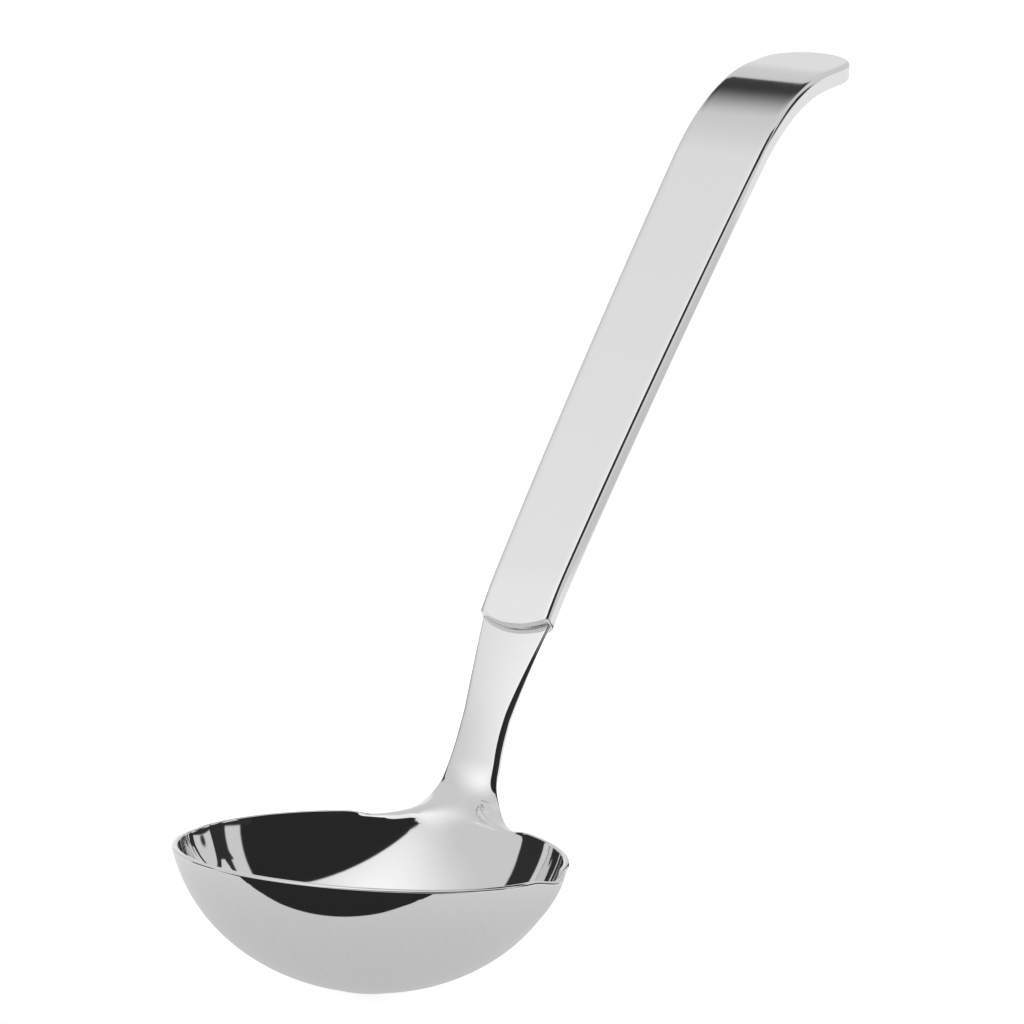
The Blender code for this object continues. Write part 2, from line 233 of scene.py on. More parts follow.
# the bowl, in metres; rows are counted from 0 in the middle to 1 at the rim, and angles
# from the neck round to the front
bowlUser = {
    "rimRadius": 0.0400,
    "rimThickness": 0.0013,
    "bottomThickness": 0.0015,
    "footRadius": 0.0040,
    "footFlat": 0.003,  # the underside is level out to here
    "footFade": 0.006,  # and over this width comes to the bowl's own curve
    "wallLean": math.radians(15.8),
    "baseReach": 0.0115,
    "wallRise": 0.0192,
    "rimSaddle": 0.0009,  # how much lower the rim is at the lips
    "rimBulge": 0.00045,  # how far the rim's rounding stands up
    "rimSquareness": 2.3,  # power of its superellipse
    "lipReach": 0.0014,
    "lipDip": 0.0009,
    "lipHalfWidth": 0.0090,
    "lipStart": 0.70,  # row from which the wall leads into the lip
    # the edge between the neck's root and the rim: degrees, radius and height
    "tabEdge": ((10.6, 0.0484, 0.0290), (12.2, 0.0476, 0.0277), (14.2, 0.0464, 0.0274),
                (17.2, 0.0443, 0.0275), (21.2, 0.0415, 0.0279), (24.6, 0.0395, 0.0284),
                (28.0, 0.03878, 0.0286)),
    "tabAngle": 31.0,  # degrees at which that edge meets the round rim
    "tabFrom": 0.974,  # row from which the wall bends out to it
    "tabStart": math.radians(4.0),
    "slideFrom": 0.93,  # row from which the wall slides down to make room
    "wallUp": 0.023,  # how much further the wall goes on near the neck
    "wallUpBetween": (20.0, 8.0),  # degrees
    "wallUpFrom": 0.80,
    "wallUpOver": 0.18,
    # the bend to the neck
    "easePoints": 14,  # edge points to each side of the corner
    "easeTurns": 16,
    "settleAngle": math.radians(34.0),
    "settleFrom": (0.86, 0.977),  # first free row in the middle and to the sides
    "settleBetween": (0.0, 10.0),  # degrees between which one becomes the other
    "settleTo": 0.0080,  # metres up the neck
    "settleTurns": 2,
    "backFrom": 0.90,
    "backTo": 0.0070,
    # numbers of rows and columns, and how they are spaced
    "wallRows": 54,
    "rowSpacing": 0.9,  # power
    "tabRows": 16,
    "neckRows": 74,
    "neckColumns": 8,
    "neckTurn": 1.35,  # radians: the columns lie at the sines of even steps up to it
    "filletColumns": 26,
    "backColumns": 28,
    "lipColumns": 50,
    "lipSpread": 1.15,  # width that the lip's columns cover, of the lip's own
    "frontColumns": 44,
    "edgeSteps": 12,
}


def curveThrough(knots, t):
    # a smooth curve through knots (t, value, value): cubic pieces whose slope at a knot
    # is that of the line between the knot's two neighbours
    knots = np.array(knots)
    at, values = knots[:, 0], knots[:, 1:]
    slopes = np.empty_like(values)
    slopes[1:-1] = (values[2:] - values[:-2]) / (at[2:] - at[:-2])[:, None]
    slopes[0] = (values[1] - values[0]) / (at[1] - at[0])
    slopes[-1] = 0.0
    t = np.clip(t, at[0], at[-1])
    i = np.clip(np.searchsorted(at, t, side="right") - 1, 0, len(at) - 2)
    span = at[i + 1] - at[i]
    u = ((t - at[i]) / span)[..., None]
    span = span[..., None]
    first = (1.0 + 2.0 * u) * (1.0 - u) ** 2 * values[i] + u * (1.0 - u) ** 2 * span * slopes[i]
    return (first + u * u * (3.0 - 2.0 * u) * values[i + 1]
            + u * u * (u - 1.0) * span * slopes[i + 1])


def rootCorner():
    # the right end of the neck's root, on its front
    return carry(neckUser["rootWidth"] / 2.0, 0.0, neckUser["rootThickness"] / 2.0)


def bowlInside(angle, row):
    # an upright section at each angle: a cubic curve that leaves the middle level and
    # ends at the rim with the rim's lean. Towards the handle (angle 0) its last part is
    # drawn out to the edge of the root's tab. At each side the rim is drawn out into
    # the lip.
    b = bowlUser
    root = rootCorner()
    cornerAngle = math.atan2(root[0], root[1])
    side = np.abs(angle)
    degrees = np.degrees(side)
    rimRadius = b["rimRadius"] - b["rimThickness"]
    rimHeight = pathUser["rimHeight"] - b["rimSaddle"] * np.sin(angle) ** 2
    drop = b["rimSaddle"] * math.sin(math.radians(b["tabAngle"])) ** 2
    knots = [(math.degrees(cornerAngle), math.hypot(root[0], root[1]), root[2])]
    knots += list(b["tabEdge"])
    knots.append((b["tabAngle"], rimRadius, pathUser["rimHeight"] - drop))
    tab = curveThrough(knots, degrees)
    tabRadius = np.where(side < cornerAngle, root[1] / np.cos(side), tab[..., 0])
    tabHeight = tab[..., 1]
    up = ramp(row, b["tabFrom"], 1.0)
    rising = up * up * (2.0 - up) * (degrees < b["tabAngle"])
    lowRadius = b["footRadius"] + b["baseReach"]
    bottom = b["bottomThickness"]

    # near the neck the wall goes on a little above the rim before it bends out
    nearNeck = smoothStep(ramp(degrees, *b["wallUpBetween"]))
    nearRim = smoothStep((row - b["wallUpFrom"]) / b["wallUpOver"])
    row = row + b["wallUp"] * nearNeck * nearRim * (1.0 - up)

    p, q, t = (1.0 - row) ** 3, 3.0 * row * (1.0 - row) ** 2, 3.0 * row * row * (1.0 - row)
    wallIn = b["wallRise"] * math.sin(b["wallLean"])
    wallDown = b["wallRise"] * math.cos(b["wallLean"])
    radius = q * lowRadius + t * (rimRadius - wallIn) + row ** 3 * rimRadius
    height = (p + q) * bottom + t * (rimHeight - wallDown) + row ** 3 * rimHeight
    radius = radius + rising * (tabRadius - rimRadius)
    height = height + rising * (tabHeight - rimHeight)
    arc = (side - math.pi / 2.0) * b["rimRadius"] / b["lipHalfWidth"]
    lip = np.clip(1.0 - arc ** 2, 0.0, 1.0) ** 3
    lip = lip * smoothStep(ramp(row, b["lipStart"], 1.0))
    radius = radius + b["lipReach"] * lip
    height = height - b["lipDip"] * lip
    points = np.stack([radius * np.sin(angle), radius * np.cos(angle), height], axis=-1)
    towardsRoot = (b["tabAngle"] - degrees) / (b["tabAngle"] - math.degrees(cornerAngle))
    thickness = blendTo(b["rimThickness"], neckUser["rootThickness"],
                        smoothStep(towardsRoot) ** 2)
    return points, blendTo(bottom, thickness, row)


def solveBanded(matrix, known):
    # elimination block by block, for a matrix whose entries lie near its diagonal
    row, column = np.nonzero(matrix)
    width = int(np.abs(row - column).max()) + 1
    starts = range(0, len(matrix), width)
    done = []
    for start in starts:
        here, after = slice(start, start + width), slice(start + width, start + 2 * width)
        both = np.concatenate([matrix[here, after], known[here]], axis=1)
        both = np.linalg.solve(matrix[here, here], both)
        ahead, value = both[:, :-known.shape[1]], both[:, -known.shape[1]:]
        matrix[after, after] -= matrix[after, here] @ ahead
        known[after] -= matrix[after, here] @ value
        done.append((ahead, value))
    found = known.copy()
    for start, (ahead, value) in list(zip(starts, done))[::-1]:
        later = found[start + width:start + 2 * width]
        found[start:start + width] = value - ahead @ later
    return found


def relaxSheet(points, quads, free, held, like):
    # the free points settle as a bent sheet does: the sum over the sheet of the squared
    # Laplacian, with the cotangent weights of the sheet like, is the least that the held
    # points allow
    near = np.zeros(len(points), bool)
    near[free] = True
    near[quads[near[quads].any(axis=1)].ravel()] = True
    part = quads[near[quads].any(axis=1)]
    ids, local = np.unique(part, return_inverse=True)
    part = local.reshape(part.shape)
    place = like[ids]
    # each quad is cut into triangles both ways, so that each one counts half
    corners = np.concatenate([part[:, [0, 1, 2]], part[:, [0, 2, 3]],
                              part[:, [0, 1, 3]], part[:, [1, 2, 3]]])
    weights = np.zeros((len(ids), len(ids)))
    mass = np.zeros(len(ids))
    for k in range(3):
        a, b, c = corners[:, k], corners[:, (k + 1) % 3], corners[:, (k + 2) % 3]
        u, v = place[b] - place[a], place[c] - place[a]
        size = np.linalg.norm(np.cross(u, v), axis=1)
        cotangent = np.sum(u * v, axis=1) / size / 4.0
        np.add.at(weights, (b, c), cotangent)
        np.add.at(weights, (c, b), cotangent)
        np.add.at(mass, a, size / 12.0)
    weights -= np.diag(weights.sum(axis=1))
    energy = np.zeros_like(weights)
    for row in np.nonzero(near[ids] & ~np.isin(ids, held))[0]:
        around = np.nonzero(weights[row])[0]
        entry = weights[row, around]
        energy[np.ix_(around, around)] += np.outer(entry, entry) / mass[row]
    isFree = np.isin(ids, free)
    known = -np.einsum("ij,jk->ik", energy[np.ix_(isFree, ~isFree)], points[ids[~isFree]])
    points = points.copy()
    points[ids[isFree]] = solveBanded(energy[np.ix_(isFree, isFree)], known)
    return points


def bowlAngles():
    # the columns' angles all the way round, and where the neck's columns lie across it,
    # as shares of half its width
    b = bowlUser
    root = rootCorner()
    shares = np.sin(np.linspace(0.0, b["neckTurn"], b["neckColumns"] + 1))
    shares = shares / math.sin(b["neckTurn"])
    neck = np.arctan2(shares * (root[0] - neckBulge(0.0)), root[1])
    lip = b["lipHalfWidth"] / b["rimRadius"] * b["lipSpread"]
    tab = math.radians(b["tabAngle"])
    marks = ((math.atan2(root[0], root[1]), tab, b["filletColumns"]),
             (tab, math.pi / 2.0 - lip, b["backColumns"]),
             (math.pi / 2.0 - lip, math.pi / 2.0 + lip, b["lipColumns"]),
             (math.pi / 2.0 + lip, math.pi, b["frontColumns"]))
    parts = [neck] + [np.linspace(a, z, steps + 1)[1:] for a, z, steps in marks]
    half = np.concatenate(parts)
    return np.concatenate([half, -half[-2:0:-1]]), shares


def makeBowlAndNeck():
    # one sheet, the front, from the middle of the bowl to the neck's end, its back at
    # the thickness behind it, and a rounded edge that joins the two
    b = bowlUser
    angles, shares = bowlAngles()
    neckAngle = angles[len(shares) - 1]
    wallShares = np.linspace(0.0, 1.0, b["wallRows"] + 1)[1:] ** b["rowSpacing"]
    rows = np.concatenate([b["tabFrom"] * wallShares,
                           np.linspace(b["tabFrom"], 1.0, b["tabRows"] + 1)[1:]])
    angleGrid, rowGrid = np.meshgrid(angles, rows)
    wall, wallThick = bowlInside(angleGrid, rowGrid)
    centre = np.array([[0.0, 0.0, b["bottomThickness"]]])
    around = len(angles)
    wallIndex = np.arange(wall.shape[0] * around).reshape(-1, around) + 1

    # the neck's columns, from one edge over the middle to the other
    across = np.concatenate([-shares[:0:-1], shares])
    columnOf = np.concatenate([around - np.arange(len(shares) - 1, 0, -1),
                               np.arange(len(shares))])
    endReach = mouthReach(across * neckUser["mouthWidth"] / 2.0, mouthAt)
    ends = mouthAt - endReach + neckUser["endInMouth"]
    steps = np.linspace(0.0, 1.0, b["neckRows"] + 1)[1:, None]
    sGrid = steps * ends[None, :]
    thick = neckThickness(sGrid)
    crowned = smoothStep(sGrid / neckUser["crownRise"])
    lift = thick / 2.0 - neckUser["crown"] * across[None, :] ** 2 * crowned
    neck = carry(across[None, :] * (neckWidth(sGrid) / 2.0 - neckBulge(sGrid)), sGrid, lift)
    first = 1 + wall.shape[0] * around
    neckIndex = np.arange(neck.shape[0] * len(across)).reshape(-1, len(across)) + first

    front = np.concatenate([centre, wall.reshape(-1, 3), neck.reshape(-1, 3)])
    thickness = np.concatenate([[b["bottomThickness"]], wallThick.ravel(), thick.ravel()])
    pole = np.zeros((1, around), dtype=int)
    quads = np.concatenate([
        gridQuads(np.concatenate([pole, wallIndex]), wrap=True),
        gridQuads(np.concatenate([wallIndex[-1:, columnOf], neckIndex])),
    ])

    # the whole edge as one loop: rim from the right corner round the front to the left
    # corner, then up the neck's edge, across its end and down the other edge
    corner = len(shares) - 1
    rimCount = around - 2 * corner + 1
    rimIndex = wallIndex[-1, corner:around - corner + 1]
    loop = np.concatenate([rimIndex, neckIndex[:, 0], neckIndex[-1, 1:-1],
                           neckIndex[::-1, -1]])
    side = np.abs(np.arctan2(front[loop, 0], front[loop, 1]))
    tabAngle = math.radians(b["tabAngle"])
    asNeck = smoothStep((tabAngle - side) / (tabAngle - neckAngle))
    asNeck[rimCount:] = 1.0
    loopS = np.concatenate([np.zeros(rimCount), sGrid[:, 0], sGrid[-1, 1:-1],
                            sGrid[::-1, -1]])
    bulge = blendTo(b["rimBulge"], neckBulge(loopS), asNeck)
    square = blendTo(b["rimSquareness"], neckUser["squareness"], asNeck)

    def edgeFrame(points):
        # the sheet's normals, and at its edge the direction out of it
        normals = cornerNormals(points, quads)
        along = points[np.roll(loop, -1)] - points[np.roll(loop, 1)]
        outward = np.cross(along, normals[loop])
        outward /= np.linalg.norm(outward, axis=1, keepdims=True)
        if outward[np.argmin(points[loop, 1]), 2] < 0.0:
            outward = -outward
        return normals, outward

    # the sheet is drawn in by the bulge of its edge, so that the rounding ends where
    # the sheet's edge was: the wall slides down itself, the tab gives way at its edge
    normals, outward = edgeFrame(front)
    rim = slice(1, rimCount - 1)
    columns = np.arange(corner + 1, around - corner)
    slide = ramp(rows, b["slideFrom"], 1.0)[:, None]
    give = ramp(rows, b["tabFrom"], 1.0)[:, None] ** 2
    inTab = smoothStep((tabAngle - side[rim]) / b["tabStart"])[None, :]
    share = blendTo(slide, give, inTab)
    front[wallIndex[:, columns]] -= share[..., None] * (bulge[:, None] * outward)[None, rim]

    # the corner between the tab's edge and the neck's is eased: each point moves half of
    # the way to the middle of its neighbours again and again, less so away from the
    # corner, which lies half a step before the loop's first point
    offsets = np.arange(-b["easePoints"], b["easePoints"] + 1)
    ease = 1.0 - smoothStep(np.abs(offsets + 0.5) / b["easePoints"])
    for turn in range(b["easeTurns"]):
        for middle in (0, rimCount):
            here = loop[(middle + offsets) % len(loop)]
            before = loop[(middle + offsets - 1) % len(loop)]
            after = loop[(middle + offsets + 1) % len(loop)]
            mean = (front[before] + front[after]) / 2.0
            front[here] += (mean - front[here]) * ease[:, None] / 2.0

    # the fillets at the neck's root settle between the wall, the rim and the neck
    held = np.concatenate([rimIndex, neckIndex[:, 0], neckIndex[:, -1], neckIndex[-1]])
    toSide = smoothStep(ramp(np.degrees(np.abs(angleGrid)), *b["settleBetween"]))
    inBend = np.abs(angleGrid) < b["settleAngle"]
    inFront = inBend & (rowGrid > blendTo(*b["settleFrom"], toSide))
    free = np.concatenate([wallIndex[inFront], neckIndex[sGrid < b["settleTo"]]])
    free = np.setdiff1d(free, held)
    for turn in range(b["settleTurns"]):
        front = relaxSheet(front, quads, free, held, front)
    print("neck root settled:", len(free), "points")

    if cornerNormals(front, quads)[0, 2] < 0.0:
        quads = quads[:, ::-1]
    normals, outward = edgeFrame(front)
    back = front - normals * thickness[:, None]
    # the back of the bend settles too, on the front's pattern, or it would fold
    inBack = inBend & (rowGrid > b["backFrom"])
    freeBack = np.concatenate([wallIndex[inBack], neckIndex[sGrid < b["backTo"]]])
    back = relaxSheet(back, quads, np.setdiff1d(freeBack, held), held, front)
    radius = np.hypot(back[:, 0], back[:, 1])
    back[:, 2] *= smoothStep((radius - b["footFlat"]) / b["footFade"])

    # the rounded edge is half a superellipse from the front to the back
    half = thickness[loop] / 2.0
    middle = front[loop] - normals[loop] * half[:, None]
    turn = np.linspace(0.0, math.pi, b["edgeSteps"] + 1)[1:-1, None]
    power = 2.0 / square[None, :]
    up = np.sign(np.cos(turn)) * np.abs(np.cos(turn)) ** power * half[None, :]
    out = np.sin(turn) ** power * bulge[None, :]
    edge = middle + up[..., None] * normals[loop] + out[..., None] * outward
    count = len(front)
    edgeIndex = 2 * count + np.arange(edge.shape[0] * len(loop)).reshape(-1, len(loop))
    strip = np.concatenate([loop[None, :], edgeIndex, (loop + count)[None, :]])
    points = np.concatenate([front, back, edge.reshape(-1, 3)])
    stripQuads = gridQuads(strip, wrap=True)
    check = points[stripQuads[0]]
    face = np.cross(check[2] - check[0], check[3] - check[1])
    if np.dot(face, normals[loop[0]]) < 0.0:
        stripQuads = stripQuads[:, ::-1]
    allQuads = np.concatenate([quads, (quads + count)[:, ::-1], stripQuads])
    grain = np.stack([points[:, 0], points[:, 1] + points[:, 2]], axis=-1)
    return makePiece("bowlAndNeck", points, allQuads, grain)


# the handle, in metres
handleUser = {
    "mouthWidth": 0.0150,
    "width": 0.0187,
    "thickness": 0.0050,
    "hookThickness": 0.0043,
    "tipThickness": 0.0042,
    "wall": 0.0008,
    "frontRadius": 0.0009,  # of the edge along the front
    "backRadius": 0.0013,
    "mouthSag": 0.0023,  # how far the mouth's arc hangs down in the middle
    "mouthFade": 0.0080,
    "mouthRoll": 0.00010,  # the mouth's edge rolls in by this
    "mouthDraw": 0.00008,  # and is narrower by this
    "tipRound": 0.0116,  # length of the half ellipse at the end
    # numbers of steps, along the handle and across it
    "steps": {"mouth": 12, "entry": 6, "grip": 60, "bend": 56, "straight": 8, "tip": 26,
              "wall": 3, "edge": 8, "face": 9, "roll": 6},
}


def handleWidth(s):
    # even growth from the mouth to the hook
    return blendTo(handleUser["mouthWidth"], handleUser["width"], ramp(s, mouthAt, hookAt))


def handleThickness(s):
    # a smooth step along the grip, then an even slope round the hook
    h = handleUser
    early = smoothStep(ramp(s, gripAt, hookAt))
    late = ramp(s, hookAt, bendEndAt)
    return np.where(s < hookAt, blendTo(h["thickness"], h["hookThickness"], early),
                    blendTo(h["hookThickness"], h["tipThickness"], late))


def mouthReach(x, s):
    # an arc in plan, fullest in the middle, which fades out along the handle
    half = handleWidth(s) / 2.0
    fade = 1.0 - smoothStep((s - mouthAt) / handleUser["mouthFade"])
    return handleUser["mouthSag"] * (1.0 - (x / half) ** 2) * fade


def handleOutline():
    # half of the outline in plan from the mouth round to the middle of the tip, which
    # is half an ellipse, and at each point the direction that leads inwards
    h, n = handleUser, handleUser["steps"]
    begin = mouthAt + h["mouthRoll"]
    stops = ((begin, mouthAt + h["mouthFade"], n["mouth"]),
             (mouthAt + h["mouthFade"], gripAt, n["entry"]),
             (gripAt, hookAt, n["grip"]),
             (hookAt, bendEndAt, n["bend"]),
             (bendEndAt, tipAt - h["tipRound"], n["straight"]))
    s = np.concatenate([np.linspace(a, b, k + 1)[:-1] for a, b, k in stops])
    x = handleWidth(s) / 2.0
    turn = np.linspace(0.0, math.pi / 2.0, n["tip"] + 1)
    x = np.concatenate([x, h["width"] / 2.0 * np.cos(turn)])
    s = np.concatenate([s, tipAt - h["tipRound"] * (1.0 - np.sin(turn))])
    x[-1] = 0.0
    dx, ds = np.gradient(x), np.gradient(s)
    length = np.hypot(dx, ds)
    inX, inS = -ds / length, dx / length
    inX[0], inS[0] = -1.0, 0.0
    inX[-1], inS[-1] = 0.0, -1.0
    return x, s, inX, inS


def sectionLines(x, s, inX, inS, side, edgeRadius):
    # across each station: up the wall from the parting line, round the edge by a
    # quarter circle, then level over the face to the middle
    n = handleUser["steps"]
    top = handleThickness(s) / 2.0
    wall = np.linspace(0.0, 1.0, n["wall"] + 1)[:-1]
    turn = np.linspace(0.0, math.pi / 2.0, n["edge"] + 1)
    inset = np.concatenate([np.zeros(len(wall)), edgeRadius * (1.0 - np.cos(turn))])
    height = np.concatenate([wall[None, :] * (top[:, None] - edgeRadius),
                             top[:, None] - edgeRadius * (1.0 - np.sin(turn))[None, :]],
                            axis=1)
    lineX = np.maximum(x[:, None] + inX[:, None] * inset, 0.0)
    lineS = s[:, None] + inS[:, None] * inset
    inwards = 1.0 - np.linspace(0.0, 1.0, n["face"] + 1)[1:]
    level = np.ones(len(inwards))

    def bothSides(line, face, mirror):
        # the line with its way over the face, and the same again to the other wall
        line = np.concatenate([line, line[:, -1:] * face], axis=1)
        return np.concatenate([line, mirror * line[:, -2::-1]], axis=1)

    return (bothSides(lineX, inwards, -1.0), bothSides(lineS, level, 1.0),
            side * bothSides(height, level, 1.0))


def mouthRing(side, edgeRadius):
    # the section at the mouth with the direction out of it, in the plane across
    mouth = [values[:1] for values in handleOutline()]
    ringX, ringS, ringN = sectionLines(*mouth, side, edgeRadius)
    n = handleUser["steps"]
    turn = np.concatenate([np.zeros(n["wall"]), np.linspace(0.0, math.pi / 2.0, n["edge"] + 1),
                           np.full(n["face"], math.pi / 2.0)])
    turn = np.concatenate([turn, math.pi - turn[-2::-1]])
    return ringX[0], ringN[0], np.cos(turn), side * np.sin(turn)


def makeShell(name, side, edgeRadius):
    # an outer sheet from section to section, an inner one at the wall's thickness from
    # it, and the edges between them along the parting line and round the mouth
    h, n = handleUser, handleUser["steps"]
    x, s, inX, inS = handleOutline()
    lineX, lineS, lineN = sectionLines(x, s, inX, inS, side, edgeRadius)
    ringX, ringN, outX, outN = mouthRing(side, edgeRadius)
    # the mouth's edge rolls in by a quarter ellipse
    turn = np.linspace(math.pi / 2.0, 0.0, n["roll"] + 1)[:-1, None]
    draw = 1.0 - np.cos(turn)
    rollX = ringX - outX * draw * h["mouthDraw"]
    rollN = ringN - outN * draw * h["mouthRoll"]
    rollS = mouthAt + h["mouthRoll"] * (1.0 - np.sin(turn)) + 0.0 * ringX
    lineX = np.concatenate([rollX, lineX])
    lineS = np.concatenate([rollS, lineS])
    lineN = np.concatenate([rollN, lineN])
    along = lineS - mouthReach(lineX, lineS)
    outer = carry(lineX, along, lineN)
    rows, columns = lineX.shape
    index = np.arange(rows * columns).reshape(rows, columns)
    quads = gridQuads(index)
    flat = outer.reshape(-1, 3)
    first, group = samePlace(flat)
    normals = cornerNormals(flat[first], group[quads])[group].reshape(rows, columns, 3)
    # the normals point out of the handle, as a station on the grip shows
    station = rows // 3
    middleS = lineS[station, 0]
    facing = carry(0.0, middleS, float(side)) - carry(0.0, middleS, 0.0)
    turned = np.dot(normals[station, columns // 2], facing) < 0.0
    if turned:
        quads = quads[:, ::-1]
        normals = -normals
    skip = n["roll"]
    inner = outer[skip:] - normals[skip:] * h["wall"]
    innerIndex = rows * columns + np.arange(inner.shape[0] * columns).reshape(-1, columns)
    innerQuads = gridQuads(innerIndex)
    joined = [quads, innerQuads if turned else innerQuads[:, ::-1],
              gridQuads(np.stack([index[0], innerIndex[0]]))]
    # the inner wall also ends on the parting plane, where an edge joins it to the outer
    for column in (0, -1):
        flatEnd = carry(lineX[skip:, column], along[skip:, column], 0.0)
        inner[:, column] += flatEnd - outer[skip:, column]
        foot = np.full(skip + 1, innerIndex[0, column])
        joined += [gridQuads(np.stack([index[skip:, column], innerIndex[:, column]])),
                   gridQuads(np.stack([index[:skip + 1, column], foot]))]
    points = np.concatenate([flat, inner.reshape(-1, 3)])
    grid = np.stack([lineS, lineX], axis=-1)
    grain = np.concatenate([grid.reshape(-1, 2), grid[skip:].reshape(-1, 2)])
    return mergedPiece(name, points, np.concatenate(joined), grain)


# the plate across the mouth: its rings as shares of the way in to the neck, and how deep
# each lies, in metres
plateUser = {
    "shares": (0.0, 0.5, 0.93, 0.97, 1.0, 1.0, 0.0),
    "depths": (0.0, 0.0, 0.0, 0.00004, 0.00012, 0.0012, 0.0012),
    "slotLess": 0.0002,  # how much the slot ends before the neck's side
}


def makeMouthPlate():
    # a flat ring across the mouth, from the rolled edge in to the neck, that dips in a
    # fine crease where it meets the neck
    h, p = handleUser, plateUser
    halves = []
    for side, edgeRadius in ((1, h["frontRadius"]), (-1, h["backRadius"])):
        x, n, outX, outN = mouthRing(side, edgeRadius)
        halves.append(np.stack([x - outX * h["mouthDraw"], n - outN * h["mouthRoll"]]))
    ringX, ringN = np.concatenate([halves[0], halves[1][:, -2:0:-1]], axis=1)
    halfSlotX = neckUser["mouthWidth"] / 2.0 - p["slotLess"]
    halfSlotN = neckUser["tangThickness"] / 2.0
    slotX = np.clip(ringX, -halfSlotX, halfSlotX)
    slotN = np.clip(ringN, -halfSlotN, halfSlotN)
    shares, depths = np.array(p["shares"])[:, None], np.array(p["depths"])[:, None]
    x = blendTo(ringX[None, :], slotX[None, :], shares)
    n = blendTo(ringN[None, :], slotN[None, :], shares)
    s = mouthAt + depths - mouthReach(x, mouthAt + 0.0 * x)
    index = np.arange(x.size).reshape(x.shape)
    closed = np.concatenate([index, index[:1]])
    return mergedPiece("mouthPlate", carry(x, s, n).reshape(-1, 3),
                       gridQuads(closed, wrap=True), np.stack([x.ravel(), n.ravel()], -1))


# the tang, in metres
tangUser = {
    "width": 0.0094,
    "length": 0.0300,  # past the mouth's sides
    "startUp": 0.0008,  # its start, up from the lowest place of the mouth's arc
    "rounding": 0.4,  # power of the superellipse
    "steps": 40,
    "around": 24,
}


def makeTang():
    # a flat bar with rounded edges: a superellipse section carried along the line
    t = tangUser
    start = mouthAt - handleUser["mouthSag"] + t["startUp"]
    s = np.linspace(start, mouthAt + t["length"], t["steps"])[:, None]
    turn = np.linspace(0.0, 2.0 * math.pi, t["around"], endpoint=False)[None, :]
    wide = np.sign(np.cos(turn)) * np.abs(np.cos(turn)) ** t["rounding"]
    deep = np.sign(np.sin(turn)) * np.abs(np.sin(turn)) ** t["rounding"]
    x = wide * t["width"] / 2.0
    n = deep * neckUser["tangThickness"] / 2.0
    body = carry(x + 0.0 * s, s + 0.0 * x, n + 0.0 * s)
    ends = carry(0.0, s[[0, -1], 0], 0.0)
    count = body.shape[0] * body.shape[1]
    index = np.arange(count).reshape(body.shape[:2])
    first = np.full((1, index.shape[1]), count)
    last = np.full((1, index.shape[1]), count + 1)
    points = np.concatenate([body.reshape(-1, 3), ends])
    quads = gridQuads(np.concatenate([first, index, last]), wrap=True)
    piece = makePiece("tang", points, quads, points[:, :2])
    tidyNormals(piece)
    return piece


bowl = makeBowlAndNeck()
print("bowl and neck:", len(bowl.data.polygons), "faces")
frontShell = makeShell("handleFront", 1, handleUser["frontRadius"])
backShell = makeShell("handleBack", -1, handleUser["backRadius"])
print("handle shells:", len(frontShell.data.polygons), len(backShell.data.polygons), "faces")
plate = makeMouthPlate()
tang = makeTang()
print("mouth plate and tang made")
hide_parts("bowl_and_neck")
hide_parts("bowl_and_neck")
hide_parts("handle_front_shell")
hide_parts("handle_back_shell")
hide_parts("mouth_plate")


# the camera: a very long lens, in degrees, millimetres of film and metres
cameraUser = {
    "azimuth": 22.0, "elevation": 11.0, "roll": 2.6,
    "lens": 1400.0, "sensor": 36.0, "distance": 7.9644,
    "shiftRight": 0.02824, "shiftUp": 0.0671,  # of its aim from the middle of the rim
    "nearest": 0.1, "farthest": 40.0,
}


def placeCamera():
    c = cameraUser
    a, roll = math.radians(c["azimuth"]), math.radians(c["roll"])
    back = towards(c["azimuth"], c["elevation"])
    level = Vector((math.cos(a), math.sin(a), 0.0))
    upright = back.cross(level)
    right = math.cos(roll) * level + math.sin(roll) * upright
    up = math.cos(roll) * upright - math.sin(roll) * level
    rimMiddle = Vector((0.0, 0.0, pathUser["rimHeight"]))
    place = rimMiddle + c["shiftRight"] * right + c["shiftUp"] * up + c["distance"] * back
    data = bpy.data.cameras.new("camera")
    data.lens = c["lens"]
    data.sensor_width = c["sensor"]
    data.clip_start = c["nearest"]
    data.clip_end = c["farthest"]
    camera = bpy.data.objects.new("camera", data)
    turned = Matrix((right, up, back)).transposed().to_4x4()
    camera.matrix_world = Matrix.Translation(place) @ turned
    bpy.context.scene.collection.objects.link(camera)
    bpy.context.scene.camera = camera


